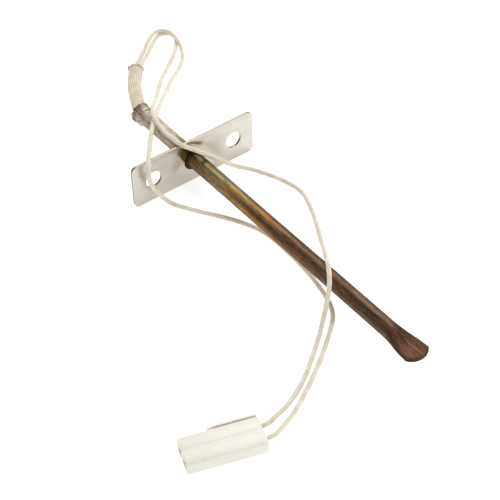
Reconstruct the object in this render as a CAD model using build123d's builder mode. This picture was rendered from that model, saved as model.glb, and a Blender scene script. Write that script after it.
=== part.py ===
"""Oven temperature probe: a stainless sheath in a two-hole flange, with braided leads and a two-way plug.

Frame: X runs along the sheath towards its tip, Y along the flange, Z up across the flange. The origin is
the middle of the two screw holes on the flange's rear face. All sizes are in millimetres.
"""
import os
from math import cos, pi, radians, sin, tan

from build123d import *

os.makedirs("parts", exist_ok=True)

# ---- Flange
FLANGE_LENGTH = 52.0
FLANGE_WIDTH = 17.8
FLANGE_THICKNESS = 1.0
FLANGE_CORNER = 2.0
SCREW_SPACING = 34.6
SCREW_HOLE_RADIUS = 3.25
FLANGE_BORE_RADIUS = 4.1
SURFACE_Z = -FLANGE_WIDTH / 2

# ---- Ferrule that joins the sheath to the flange
FERRULE_RADIUS = 3.7
FERRULE_RIM_RADIUS = 5.4
FERRULE_RIM_THICKNESS = 0.9
FERRULE_PROUD = 0.5
FERRULE_CLEARANCE = 0.02

# ---- Sheath
SHEATH_RADIUS = 3.0
SHEATH_WALL = 0.5
SHEATH_BORE_RADIUS = SHEATH_RADIUS - SHEATH_WALL
MOUTH_X = -33.6
MOUTH_RADIUS = 4.0
BELL_START_X = -28.2
BEAD_X = -27.6
BEAD_HEIGHT = 0.25
BEAD_LENGTH = 1.6
TAPER_START_X = 106.0
TIP_END_X = 122.1
TIP_ARC_RADIUS = 5.9
# Distance along the sheath, half width and half thickness of the pressed tip's sections
TIP_SECTIONS = [
    (106.0, 3.0, 3.0), (110.5, 3.45, 2.35), (115.0, 4.15, 1.35), (119.0, 4.55, 0.95), (123.0, 4.75, 0.85),
]
TIP_CAVITY_SECTIONS = [(106.0, 2.5, 2.5), (109.5, 2.7, 1.9), (112.5, 3.0, 1.1)]
TIP_FLAT_HALF_THICKNESS = 0.75

# ---- Inner wiring, either side of the axis
PAIR_OFFSET = 0.9
INNER_LEAD_RADIUS = 0.25
INNER_LEAD_START_X = -17.3
INNER_LEAD_END_X = 98.6
BEAD_COUNT = 9
INSULATOR_PITCH = 12.0
INSULATOR_LENGTH = 11.8
INSULATOR_START_X = -12.0
INSULATOR_RADIUS = 2.2
INSULATOR_BORE_RADIUS = 0.4
SPLICE_START_X = -20.6
SPLICE_LENGTH = 6.0
SPLICE_RADIUS = 0.7
SPLICE_BORE_RADIUS = 0.42
SPLICE_SLEEVE_START_X = -21.8
SPLICE_SLEEVE_LENGTH = 8.6
SPLICE_SLEEVE_RADIUS = 0.88
SPLICE_SLEEVE_BORE_RADIUS = 0.75
CONDUCTOR_RADIUS = 0.38
CONDUCTOR_STRIP = 4.2
PLUG_START_X = -28.0
PLUG_LENGTH = 3.5
PLUG_RADIUS = 2.45
PLUG_BORE_RADIUS = 0.88

# ---- Sensing element
ELEMENT_START_X = 101.0
ELEMENT_LENGTH = 3.2
ELEMENT_WIDTH = 2.4
ELEMENT_THICKNESS = 1.1
ELEMENT_LEAD_RADIUS = 0.15
CEMENT_START_X = 96.4
CEMENT_END_X = 105.7
CEMENT_RADIUS = 2.42
FIT_GAP = 0.03

# ---- Sleeve over both leads
SLEEVE_RADIUS = 2.7
SLEEVE_BORE_RADIUS = 2.2
SLEEVE_ROUTE = [
    (-29.6, 0.0, 0.0),
    (-33.6, 0.0, 0.0),
    (-47.6, 6.7, -2.6),
    (-55.5, 11.6, -4.2),
    (-64.0, 17.4, -5.6),
]

# ---- Leads
LEAD_DIAMETER = 1.7
LEAD_RADIUS = LEAD_DIAMETER / 2
LEAD_START_X = -22.0
ON_SURFACE = SURFACE_Z + LEAD_RADIUS
RUN_SHARE = 0.45

# ---- Two-way plug, drawn on its own plane: x from its rear to its nose, y towards its near side
PLUG_HOUSING_AT = (111.6, -53.5, SURFACE_Z)
PLUG_HOUSING_TURN = -108.5
HOUSING_LENGTH = 25.4
HOUSING_WIDTH = 11.0
HOUSING_HEIGHT = 5.2
HOUSING_EDGE = 0.8
CAVITY_PITCH = 5.0
CAVITY_WIDTH = 3.4
CAVITY_HEIGHT = 3.4
CAVITY_MID_Z = HOUSING_HEIGHT / 2
GROOVE_WIDTH = 0.9
GROOVE_DEPTH = 0.4
WIRE_STRAIGHT = 3.5
LEAD_IN_PLUG = 6.2

# ---- Latch arm on the plug's far side
LATCH_PIVOT_X = 15.4
LATCH_GAP = 0.65
LATCH_THICKNESS = 0.9
LATCH_RAMP_LENGTH = 1.9
LATCH_TAIL_X = 0.2
LATCH_BOTTOM_Z = 0.6
LATCH_HEIGHT = 4.2
LATCH_ROOT_RADIUS = 0.45
LATCH_ROOT_CLEARANCE = 0.12

# ---- Crimp terminals
TERMINAL_START = 2.6
TERMINAL_END = 20.6
TERMINAL_GRIP_RADIUS = 1.3
TERMINAL_GRIP_BORE = 0.9
TERMINAL_GRIP_LENGTH = 3.2
TERMINAL_CRIMP_START = 7.2
TERMINAL_CRIMP_LENGTH = 3.8
TERMINAL_CRIMP_RADIUS = 0.85
TERMINAL_CRIMP_BORE = 0.42
TERMINAL_BOX_START = 12.6
TERMINAL_BOX_SIZE = 2.6
TERMINAL_BOX_BORE = 1.9
TERMINAL_SPINE_WIDTH = 1.2
TERMINAL_SPINE_THICKNESS = 0.35


def plug_point(x, y, z):
    """A point given on the plug's own plane, in the probe's frame."""
    turn = radians(PLUG_HOUSING_TURN)
    return (
        PLUG_HOUSING_AT[0] + x * cos(turn) - y * sin(turn),
        PLUG_HOUSING_AT[1] + x * sin(turn) + y * cos(turn),
        PLUG_HOUSING_AT[2] + z,
    )


# Lead a leaves the sleeve on the outer side, turns back over the flange's top edge and passes under
# the sheath.
LEAD_A_ROUTE = [
    (LEAD_START_X, -PAIR_OFFSET, 0.0),
    (-33.8, -PAIR_OFFSET, 0.0),
    (-48.05, 5.9, -2.6),
    (-56.0, 10.85, -4.2),
    (-65.5, 17.4, -5.9),
    (-75.2, 27.5, -8.0),
    (-82.0, 36.2, ON_SURFACE),
    (-79.9, 43.9, ON_SURFACE),
    (-72.6, 46.3, ON_SURFACE),
    (-64.3, 42.0, ON_SURFACE),
    (-57.0, 34.8, ON_SURFACE),
    (-50.5, 26.8, -6.6),
    (-42.5, 18.4, -2.8),
    (-34.0, 10.3, 1.6),
    (-25.5, 2.6, 6.0),
    (-16.8, -4.8, 8.6),
    (-7.0, -11.8, 12.6),
    (4.4, -18.4, 12.9),
    (8.8, -23.2, 7.0),
    (9.2, -22.2, 0.4),
    (9.9, -17.6, -5.8),
    (14.6, -12.0, ON_SURFACE),
    (24.2, -5.6, ON_SURFACE),
    (37.5, 2.0, ON_SURFACE),
    (57.0, 3.0, ON_SURFACE),
    (76.5, -0.2, ON_SURFACE),
    (87.6, -6.2, ON_SURFACE),
    (96.6, -18.6, ON_SURFACE),
    (103.6, -29.4, ON_SURFACE),
    (110.4, -40.8, ON_SURFACE),
    plug_point(-WIRE_STRAIGHT, CAVITY_PITCH / 2, CAVITY_MID_Z),
    plug_point(LEAD_IN_PLUG, CAVITY_PITCH / 2, CAVITY_MID_Z),
]

# Lead b lies inside lead a's turn, crosses over it behind the flange and passes over the sheath.
LEAD_B_ROUTE = [
    (LEAD_START_X, PAIR_OFFSET, 0.0),
    (-33.4, PAIR_OFFSET, 0.0),
    (-47.15, 7.5, -2.6),
    (-54.9, 12.4, -4.2),
    (-64.0, 18.9, -5.9),
    (-72.6, 28.8, -8.0),
    (-79.3, 36.2, ON_SURFACE),
    (-77.9, 42.2, ON_SURFACE),
    (-72.2, 44.0, ON_SURFACE),
    (-65.0, 38.6, ON_SURFACE),
    (-58.6, 30.0, ON_SURFACE),
    (-51.6, 20.8, -6.8),
    (-43.0, 12.4, -2.0),
    (-34.0, 5.0, 4.6),
    (-25.5, -0.6, 11.4),
    (-16.0, -4.4, 14.0),
    (-6.0, -6.4, 13.2),
    (5.4, -5.0, 12.6),
    (9.8, -0.4, 8.8),
    (10.2, 5.8, 3.6),
    (10.4, 11.6, -3.4),
    (13.2, 18.2, ON_SURFACE),
    (21.4, 24.2, ON_SURFACE),
    (33.0, 26.2, ON_SURFACE),
    (43.6, 20.8, ON_SURFACE),
    (53.4, 15.6, -7.8),
    (62.4, 10.4, -2.2),
    (71.2, 4.6, 6.4),
    (80.2, -4.0, 7.0),
    (87.2, -11.6, 1.6),
    (92.2, -18.8, -5.4),
    (97.6, -26.8, ON_SURFACE),
    (102.4, -34.4, ON_SURFACE),
    (106.6, -42.4, -7.9),
    plug_point(-WIRE_STRAIGHT, -CAVITY_PITCH / 2, CAVITY_MID_Z),
    plug_point(LEAD_IN_PLUG, -CAVITY_PITCH / 2, CAVITY_MID_Z),
]


def corner_radii(name, route):
    """The largest tangent arc that each corner's two runs allow; printed with the route's length."""
    points = [Vector(*point) for point in route]
    runs = [end - start for start, end in zip(points, points[1:])]
    radii = []
    for before, after in zip(runs, runs[1:]):
        turn = before.get_angle(after)
        radii.append(RUN_SHARE * min(before.length, after.length) / tan(radians(turn / 2)))
    print(name, "corner radii", [round(radius, 1) for radius in radii])
    return radii


def finish(name, part, colour):
    """Label one piece and write it to its file."""
    part.label = name
    part.color = Color(*colour)
    export_step(part, f"parts/{name}.step")


STEEL = (0.72, 0.7, 0.67)
TINTED_STEEL = (0.45, 0.34, 0.24)
BRAID = (0.85, 0.81, 0.74)
CERAMIC = (0.93, 0.92, 0.88)
NYLON = (0.92, 0.91, 0.86)
NICKEL = (0.6, 0.58, 0.55)
TIN = (0.78, 0.77, 0.74)

# ---- flange_plate: one flat pressing with two screw holes and a bore for the ferrule
with BuildPart() as flange_plate:
    with BuildSketch(Plane.YZ):
        RectangleRounded(FLANGE_LENGTH, FLANGE_WIDTH, FLANGE_CORNER)
        with GridLocations(SCREW_SPACING, 0, 2, 1):
            Circle(SCREW_HOLE_RADIUS, mode=Mode.SUBTRACT)
        Circle(FLANGE_BORE_RADIUS, mode=Mode.SUBTRACT)
    extrude(amount=FLANGE_THICKNESS)
finish("flange_plate", flange_plate.part, STEEL)

# ---- mounting_ferrule: collar brazed round the sheath, its rim behind the flange
with BuildPart() as mounting_ferrule:
    with BuildSketch(Plane.YZ.offset(-FERRULE_RIM_THICKNESS)):
        Circle(FERRULE_RIM_RADIUS)
    extrude(amount=FERRULE_RIM_THICKNESS)
    with BuildSketch(Plane.YZ):
        Circle(FERRULE_RADIUS)
    extrude(amount=FLANGE_THICKNESS + FERRULE_PROUD)
    chamfer(mounting_ferrule.faces().sort_by(Axis.X)[-1].edges(), 0.3)
    with BuildSketch(Plane.YZ.offset(-FERRULE_RIM_THICKNESS)):
        Circle(SHEATH_RADIUS + FERRULE_CLEARANCE)
    extrude(amount=FERRULE_RIM_THICKNESS + FLANGE_THICKNESS + FERRULE_PROUD, mode=Mode.SUBTRACT)
finish("mounting_ferrule", mounting_ferrule.part, TINTED_STEEL)

# ---- sheath_tube: drawn tube with a belled mouth, a stop bead and a pressed, rounded tip
with BuildPart() as sheath_tube:
    with BuildSketch(Plane.XZ):
        with BuildLine():
            Polyline(
                (MOUTH_X, 0),
                (MOUTH_X, MOUTH_RADIUS),
                (MOUTH_X + 0.9, MOUTH_RADIUS - 0.1),
                (BELL_START_X, SHEATH_RADIUS),
                (TAPER_START_X, SHEATH_RADIUS),
                (TAPER_START_X, 0),
                close=True,
            )
        make_face()
        with Locations((BEAD_X, SHEATH_RADIUS)):
            Ellipse(BEAD_LENGTH / 2, BEAD_HEIGHT)
    revolve(axis=Axis.X)
    for section_x, half_width, half_thickness in TIP_SECTIONS:
        with BuildSketch(Plane.YZ.offset(section_x)):
            Ellipse(half_width, half_thickness)
    loft()
    with BuildSketch(Plane.XZ):
        with BuildLine():
            Polyline(
                (TAPER_START_X, SHEATH_RADIUS + 1),
                (TAPER_START_X + 4.5, SHEATH_RADIUS),
                (116.5, TIP_FLAT_HALF_THICKNESS),
                (TIP_END_X + 2, TIP_FLAT_HALF_THICKNESS),
                (TIP_END_X + 2, SHEATH_RADIUS + 1),
                close=True,
            )
        make_face()
        mirror(about=Plane.XY)
    extrude(amount=FLANGE_WIDTH, both=True, mode=Mode.SUBTRACT)
    with BuildSketch(Plane.XY.offset(-FLANGE_WIDTH)):
        with Locations(((MOUTH_X + TIP_END_X - TIP_ARC_RADIUS) / 2 - 5, 0)):
            Rectangle(TIP_END_X - TIP_ARC_RADIUS - MOUTH_X + 10, FLANGE_WIDTH)
        with Locations((TIP_END_X - TIP_ARC_RADIUS, 0)):
            Circle(TIP_ARC_RADIUS)
    extrude(amount=2 * FLANGE_WIDTH, mode=Mode.INTERSECT)
    with BuildSketch(Plane.XZ):
        with BuildLine():
            Polyline(
                (MOUTH_X, 0),
                (MOUTH_X, MOUTH_RADIUS - SHEATH_WALL),
                (BELL_START_X, SHEATH_BORE_RADIUS),
                (TAPER_START_X, SHEATH_BORE_RADIUS),
                (TAPER_START_X, 0),
                close=True,
            )
        make_face()
    revolve(axis=Axis.X, mode=Mode.SUBTRACT)
    for section_x, half_width, half_thickness in TIP_CAVITY_SECTIONS:
        with BuildSketch(Plane.YZ.offset(section_x)):
            Ellipse(half_width, half_thickness)
    loft(mode=Mode.SUBTRACT)
finish("sheath_tube", sheath_tube.part, TINTED_STEEL)

# ---- fibreglass_sleeve: braided tube over both leads, seated in the sheath's bell
with BuildPart() as fibreglass_sleeve:
    with BuildLine() as sleeve_line:
        FilletPolyline(*SLEEVE_ROUTE, radius=corner_radii("sleeve", SLEEVE_ROUTE))
    with BuildSketch(Plane(origin=sleeve_line.line @ 0, z_dir=sleeve_line.line % 0)):
        Circle(SLEEVE_RADIUS)
        Circle(SLEEVE_BORE_RADIUS, mode=Mode.SUBTRACT)
    sweep()
finish("fibreglass_sleeve", fibreglass_sleeve.part, BRAID)

# ---- lead_wire_a, lead_wire_b: round leads from the splices to the plug
for name, route in (("lead_wire_a", LEAD_A_ROUTE), ("lead_wire_b", LEAD_B_ROUTE)):
    with BuildPart() as lead:
        with BuildLine() as lead_line:
            FilletPolyline(*route, radius=corner_radii(name, route))
        with BuildSketch(Plane(origin=lead_line.line @ 0, z_dir=lead_line.line % 0)):
            Circle(LEAD_RADIUS)
        sweep()
    length = lead_line.wire().length
    section = pi * LEAD_RADIUS**2
    print(name, "length", round(length, 1), "volume ratio", round(lead.part.volume / (length * section), 4))
    finish(name, lead.part, BRAID)

# ---- seal_plug: stopper in the rear of the sheath, bored for the two leads
with BuildPart() as seal_plug:
    with BuildSketch(Plane.YZ.offset(PLUG_START_X)):
        Circle(PLUG_RADIUS)
        with GridLocations(2 * PAIR_OFFSET, 0, 2, 1):
            Circle(PLUG_BORE_RADIUS, mode=Mode.SUBTRACT)
    extrude(amount=PLUG_LENGTH)
finish("seal_plug", seal_plug.part, CERAMIC)

# ---- insulator_beads: twin-bore ceramic beads in a row
with BuildPart() as insulator_beads:
    for index in range(BEAD_COUNT):
        with BuildSketch(Plane.YZ.offset(INSULATOR_START_X + index * INSULATOR_PITCH)):
            Circle(INSULATOR_RADIUS)
            with GridLocations(2 * PAIR_OFFSET, 0, 2, 1):
                Circle(INSULATOR_BORE_RADIUS, mode=Mode.SUBTRACT)
        extrude(amount=INSULATOR_LENGTH)
finish("insulator_beads", insulator_beads.part, CERAMIC)

# ---- Wiring that comes in pairs, one each side of the axis
for letter, side in (("a", -PAIR_OFFSET), ("b", PAIR_OFFSET)):
    with BuildPart() as splice_barrel:
        with BuildSketch(Plane.YZ.offset(SPLICE_START_X)):
            with Locations((side, 0)):
                Circle(SPLICE_RADIUS)
                Circle(SPLICE_BORE_RADIUS, mode=Mode.SUBTRACT)
        extrude(amount=SPLICE_LENGTH)
    finish(f"splice_barrel_{letter}", splice_barrel.part, TIN)

    with BuildPart() as splice_sleeve:
        with BuildSketch(Plane.YZ.offset(SPLICE_SLEEVE_START_X)):
            with Locations((side, 0)):
                Circle(SPLICE_SLEEVE_RADIUS)
                Circle(SPLICE_SLEEVE_BORE_RADIUS, mode=Mode.SUBTRACT)
        extrude(amount=SPLICE_SLEEVE_LENGTH)
    finish(f"splice_sleeve_{letter}", splice_sleeve.part, BRAID)

    with BuildPart() as inner_lead:
        with BuildSketch(Plane.YZ.offset(INNER_LEAD_START_X)):
            with Locations((side, 0)):
                Circle(INNER_LEAD_RADIUS)
        extrude(amount=INNER_LEAD_END_X - INNER_LEAD_START_X)
    finish(f"inner_lead_{letter}", inner_lead.part, NICKEL)

# ---- rtd_element: platinum element on a ceramic chip
with BuildPart() as rtd_element:
    with BuildSketch(Plane.YZ.offset(ELEMENT_START_X)):
        Rectangle(ELEMENT_WIDTH, ELEMENT_THICKNESS)
    extrude(amount=ELEMENT_LENGTH)
    chamfer(rtd_element.faces().sort_by(Axis.X)[-1].edges(), 0.2)
finish("rtd_element", rtd_element.part, CERAMIC)

# ---- element_leads: two short platinum wires welded to the inner leads
with BuildPart() as element_leads:
    with BuildSketch(Plane.YZ.offset(INNER_LEAD_END_X)):
        with GridLocations(2 * PAIR_OFFSET, 0, 2, 1):
            Circle(ELEMENT_LEAD_RADIUS)
    extrude(amount=ELEMENT_START_X - INNER_LEAD_END_X)
finish("element_leads", element_leads.part, NICKEL)

# ---- tip_cement: ceramic cement cast round the element and the ends of the inner leads
with BuildPart() as tip_cement:
    with BuildSketch(Plane.YZ.offset(CEMENT_START_X)):
        Circle(CEMENT_RADIUS)
    extrude(amount=CEMENT_END_X - CEMENT_START_X)
    with BuildSketch(Plane.YZ.offset(ELEMENT_START_X - FIT_GAP)):
        Rectangle(ELEMENT_WIDTH + 2 * FIT_GAP, ELEMENT_THICKNESS + 2 * FIT_GAP)
    extrude(amount=ELEMENT_LENGTH + 2 * FIT_GAP, mode=Mode.SUBTRACT)
    with BuildSketch(Plane.YZ.offset(CEMENT_START_X)):
        with GridLocations(2 * PAIR_OFFSET, 0, 2, 1):
            Circle(INNER_LEAD_RADIUS + FIT_GAP)
    extrude(amount=ELEMENT_START_X - CEMENT_START_X, mode=Mode.SUBTRACT)
finish("tip_cement", tip_cement.part, CERAMIC)

# ---- The plug: everything below is drawn on its own plane
plug_plane = Plane(
    origin=PLUG_HOUSING_AT,
    x_dir=(cos(radians(PLUG_HOUSING_TURN)), sin(radians(PLUG_HOUSING_TURN)), 0),
    z_dir=(0, 0, 1),
)
plug_section = Plane(origin=PLUG_HOUSING_AT, x_dir=plug_plane.y_dir, z_dir=plug_plane.x_dir)

# ---- connector_housing: moulded body with two through cavities and a groove between them
with BuildPart() as connector_housing:
    with BuildSketch(plug_section):
        with Locations((0, HOUSING_HEIGHT / 2)):
            Rectangle(HOUSING_WIDTH, HOUSING_HEIGHT)
    extrude(amount=HOUSING_LENGTH)
    chamfer(connector_housing.edges().filter_by(Axis(PLUG_HOUSING_AT, plug_plane.x_dir)), HOUSING_EDGE)
    with BuildSketch(plug_section):
        with Locations((-CAVITY_PITCH / 2, CAVITY_MID_Z), (CAVITY_PITCH / 2, CAVITY_MID_Z)):
            Rectangle(CAVITY_WIDTH, CAVITY_HEIGHT)
        with Locations((0, 0), (0, HOUSING_HEIGHT)):
            Rectangle(GROOVE_WIDTH, 2 * GROOVE_DEPTH)
    extrude(amount=HOUSING_LENGTH, mode=Mode.SUBTRACT)
finish("connector_housing", connector_housing.part, NYLON)

# ---- connector_latch: springy arm beside the housing, rooted near the nose and free at the rear
far_side = -HOUSING_WIDTH / 2
latch_inner = far_side - LATCH_GAP
latch_outer = latch_inner - LATCH_THICKNESS
latch_pivot_y = far_side - LATCH_ROOT_CLEARANCE - LATCH_ROOT_RADIUS
with BuildPart() as connector_latch:
    with BuildSketch(plug_plane.offset(LATCH_BOTTOM_Z)):
        with BuildLine():
            Polyline(
                (LATCH_PIVOT_X, latch_pivot_y + LATCH_ROOT_RADIUS),
                (LATCH_PIVOT_X + LATCH_ROOT_RADIUS, latch_pivot_y),
                (LATCH_PIVOT_X - LATCH_RAMP_LENGTH, latch_outer),
                (LATCH_TAIL_X, latch_outer),
                (LATCH_TAIL_X, latch_inner),
                (LATCH_PIVOT_X - LATCH_RAMP_LENGTH, latch_inner),
                close=True,
            )
        make_face()
        with Locations((LATCH_PIVOT_X, latch_pivot_y)):
            Circle(LATCH_ROOT_RADIUS)
    extrude(amount=LATCH_HEIGHT)
finish("connector_latch", connector_latch.part, NYLON)

# ---- terminal_a, terminal_b: crimp terminals; conductor_a, conductor_b: bare wire at each end of a lead
for letter, side, tube_side in (("a", CAVITY_PITCH / 2, -PAIR_OFFSET), ("b", -CAVITY_PITCH / 2, PAIR_OFFSET)):
    with BuildPart() as terminal:
        with BuildSketch(plug_section.offset(TERMINAL_START)):
            with Locations((side, CAVITY_MID_Z)):
                Circle(TERMINAL_GRIP_RADIUS)
        extrude(amount=TERMINAL_GRIP_LENGTH)
        with BuildSketch(plug_section.offset(TERMINAL_CRIMP_START)):
            with Locations((side, CAVITY_MID_Z)):
                Circle(TERMINAL_CRIMP_RADIUS)
        extrude(amount=TERMINAL_CRIMP_LENGTH)
        with BuildSketch(plug_section.offset(TERMINAL_BOX_START)):
            with Locations((side, CAVITY_MID_Z)):
                Rectangle(TERMINAL_BOX_SIZE, TERMINAL_BOX_SIZE)
        extrude(amount=TERMINAL_END - TERMINAL_BOX_START)
        with BuildSketch(plug_section.offset(TERMINAL_START)):
            with Locations((side, CAVITY_MID_Z - TERMINAL_GRIP_RADIUS + TERMINAL_SPINE_THICKNESS / 2)):
                Rectangle(TERMINAL_SPINE_WIDTH, TERMINAL_SPINE_THICKNESS)
        extrude(amount=TERMINAL_END - TERMINAL_START)
        with BuildSketch(plug_section.offset(TERMINAL_CRIMP_START)):
            with Locations((side, CAVITY_MID_Z - TERMINAL_CRIMP_RADIUS)):
                Rectangle(TERMINAL_SPINE_WIDTH / 2, TERMINAL_CRIMP_RADIUS)
        extrude(amount=TERMINAL_CRIMP_LENGTH)
        with BuildSketch(plug_section.offset(TERMINAL_START)):
            with Locations((side, CAVITY_MID_Z)):
                Circle(TERMINAL_GRIP_BORE)
        extrude(amount=TERMINAL_GRIP_LENGTH, mode=Mode.SUBTRACT)
        with BuildSketch(plug_section.offset(TERMINAL_CRIMP_START)):
            with Locations((side, CAVITY_MID_Z)):
                Circle(TERMINAL_CRIMP_BORE)
        extrude(amount=TERMINAL_CRIMP_LENGTH, mode=Mode.SUBTRACT)
        with BuildSketch(plug_section.offset(TERMINAL_BOX_START)):
            with Locations((side, CAVITY_MID_Z)):
                Rectangle(TERMINAL_BOX_BORE, TERMINAL_BOX_BORE)
        extrude(amount=TERMINAL_END - TERMINAL_BOX_START, mode=Mode.SUBTRACT)
    finish(f"terminal_{letter}", terminal.part, TIN)

    with BuildPart() as conductor:
        with BuildSketch(Plane.YZ.offset(LEAD_START_X)):
            with Locations((tube_side, 0)):
                Circle(CONDUCTOR_RADIUS)
        extrude(amount=CONDUCTOR_STRIP)
        with BuildSketch(plug_section.offset(LEAD_IN_PLUG)):
            with Locations((side, CAVITY_MID_Z)):
                Circle(CONDUCTOR_RADIUS)
        extrude(amount=CONDUCTOR_STRIP)
    finish(f"conductor_{letter}", conductor.part, NICKEL)
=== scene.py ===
"""Oven temperature probe: the visual model round the CAD frame.

Lengths are in metres unless a name ends in _MM. X runs along the sheath to its tip, and Z is up.
"""

import math

import bpy
import numpy as np
from mathutils import Matrix, Vector, noise


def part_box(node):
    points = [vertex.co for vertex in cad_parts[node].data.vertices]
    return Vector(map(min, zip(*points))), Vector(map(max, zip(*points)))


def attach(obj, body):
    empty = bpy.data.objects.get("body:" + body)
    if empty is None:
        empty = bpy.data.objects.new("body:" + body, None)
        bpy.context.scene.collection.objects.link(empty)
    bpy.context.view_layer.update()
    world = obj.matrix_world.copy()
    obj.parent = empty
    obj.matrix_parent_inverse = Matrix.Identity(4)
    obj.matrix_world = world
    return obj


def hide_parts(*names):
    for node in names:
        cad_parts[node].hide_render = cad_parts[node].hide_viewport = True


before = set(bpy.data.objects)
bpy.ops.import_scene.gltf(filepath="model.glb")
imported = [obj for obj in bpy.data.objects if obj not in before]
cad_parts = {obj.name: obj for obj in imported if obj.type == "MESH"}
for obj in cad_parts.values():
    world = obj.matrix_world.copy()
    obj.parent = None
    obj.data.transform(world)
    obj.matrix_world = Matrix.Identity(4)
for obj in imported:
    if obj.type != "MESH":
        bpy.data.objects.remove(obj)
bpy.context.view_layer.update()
MM = 0.001
TURN = 2 * math.pi

# ---- Camera, at the photograph's viewing angle
CAMERA_AT = (0.34118, -0.21965, 0.34057)
CAMERA_RIGHT = (0.6004, 0.7993, -0.0261)
CAMERA_FORWARD = (-0.5890, 0.4199, -0.6904)
CAMERA_LENS_MM = 106.9

camera = bpy.data.objects.new("camera", bpy.data.cameras.new("camera"))
bpy.context.scene.collection.objects.link(camera)
camera.data.lens = CAMERA_LENS_MM
camera.data.clip_start = 0.01
camera.data.clip_end = 50
back = -Vector(CAMERA_FORWARD).normalized()
right = (Vector(CAMERA_RIGHT) - Vector(CAMERA_RIGHT).dot(back) * back).normalized()
up = back.cross(right)
camera.matrix_world = Matrix.Translation(CAMERA_AT) @ Matrix((right, up, back)).transposed().to_4x4()
bpy.context.scene.camera = camera

# ---- Sizes that several pieces share
FLOOR_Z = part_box("flange_plate")[0].z
LEAD_DIAMETER = 1.7 * MM
LYING_MM = -8.05  # height of a lead's middle where it lies on the floor

PLUG_AT_MM = (111.6, -53.5, -8.9)
PLUG_TURN = math.radians(-108.5)
PLUG_MATRIX = Matrix.Translation([x * MM for x in PLUG_AT_MM]) @ Matrix.Rotation(PLUG_TURN, 4, "Z")
# Stands an outline drawn in X and Y in the plane of Y and Z, so that its thickness runs along X
ACROSS_X = Matrix(((0, 0, 1, 0), (1, 0, 0, 0), (0, 1, 0, 0), (0, 0, 0, 1)))


def plug_point(x, y, z):
    """A point given on the plug's own axes, in the probe's frame, in millimetres."""
    p = PLUG_MATRIX @ Vector((x * MM, y * MM, z * MM))
    return tuple(p / MM)


# ---- Routes, in millimetres: out of the sheath's mouth, through the sleeve, round and over the flange,
# and on to the plug
SLEEVE_ROUTE = [
    (-29.6, 0, 0), (-33.6, 0.2, 0), (-47.6, 6.7, -2.6), (-55.5, 11.6, -4.2), (-63.0, 17.2, -5.3),
]
ROUTE_A = [
    (-22, -0.9, 0), (-33.8, -0.9, 0), (-48.05, 5.9, -2.6), (-56, 10.85, -4.2), (-65.0, 18.2, -5.9),
    (-72.0, 26.0, -7.7), (-77.4, 32.6, -6.9), (-79.8, 37.0, -6.3), (-79.0, 40.8, -6.3),
    (-75.2, 42.3, -6.3), (-70.0, 41.8, -6.5), (-64.8, 40.2, -7.3), (-59.0, 36.8, LYING_MM),
    (-53.0, 29.6, -7.0), (-47.0, 22.4, -4.8), (-40.0, 15.9, -2.2), (-32.4, 9.3, 2.2),
    (-24.6, 2.4, 5.8), (-17.4, -4.2, 8.3), (-10.4, -10.0, 9.7), (-3.2, -15.6, 9.9), (3.5, -20.6, 9.9),
    (5.0, -21.7, 3.6), (4.8, -18.9, -2.4), (6.8, -15.5, -8.0), (12.0, -12.9, LYING_MM),
    (20.0, -8.0, LYING_MM), (29.0, -2.4, LYING_MM), (38.6, 1.8, LYING_MM), (50.0, 2.2, LYING_MM),
    (64.0, 1.4, LYING_MM), (76.6, -1.0, LYING_MM), (84.4, -4.0, LYING_MM), (89.5, -9.6, LYING_MM),
    (96.4, -18.4, LYING_MM), (102.6, -27.8, LYING_MM), (107.6, -36.4, LYING_MM), (110.6, -42.4, -7.9),
    (112.6, -47.2, -6.9), plug_point(-2.6, 2.2, 2.8), plug_point(6.2, 2.5, 2.6),
]
ROUTE_B = [
    (-22, 0.9, 0), (-33.4, 0.9, 0), (-47.15, 7.5, -2.6), (-54.9, 12.4, -4.2), (-63.6, 19.6, -5.9),
    (-70.2, 27.2, -7.9), (-76.0, 33.8, LYING_MM), (-79.0, 37.9, LYING_MM), (-79.0, 41.1, LYING_MM),
    (-76.7, 43.4, LYING_MM), (-73.1, 43.2, LYING_MM), (-69.2, 40.5, LYING_MM), (-65.0, 36.6, LYING_MM),
    (-60.2, 30.8, LYING_MM), (-53.6, 22.6, -7.2), (-46.6, 17.0, -4.6), (-38.4, 10.4, -0.8),
    (-29.6, 4.0, 4.6), (-23.2, -0.8, 8.8), (-17.0, -4.4, 10.9), (-9.2, -6.3, 10.2), (-1.2, -5.8, 9.9),
    (3.0, -5.2, 10.0), (5.0, -1.8, 7.9), (6.6, 3.2, 3.4), (7.2, 8.6, -1.4), (7.3, 12.6, -5.6),
    (8.8, 17.2, LYING_MM), (14.0, 20.2, LYING_MM), (22.6, 23.6, LYING_MM), (31.0, 25.2, LYING_MM),
    (39.6, 22.2, LYING_MM), (48.0, 18.2, LYING_MM), (56.2, 13.6, -7.6), (63.2, 9.2, -3.4),
    (70.6, 3.8, 2.4), (76.4, 0.0, 5.2), (82.2, -4.0, 3.8), (87.0, -9.6, -0.6), (90.6, -15.2, -6.6),
    (95.4, -22.0, LYING_MM), (100.4, -28.8, LYING_MM), (104.2, -35.6, LYING_MM), (106.6, -41.6, -7.9),
    (107.8, -46.0, -6.9), plug_point(-2.6, -2.8, 2.8), plug_point(6.2, -2.5, 2.6),
]


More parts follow.
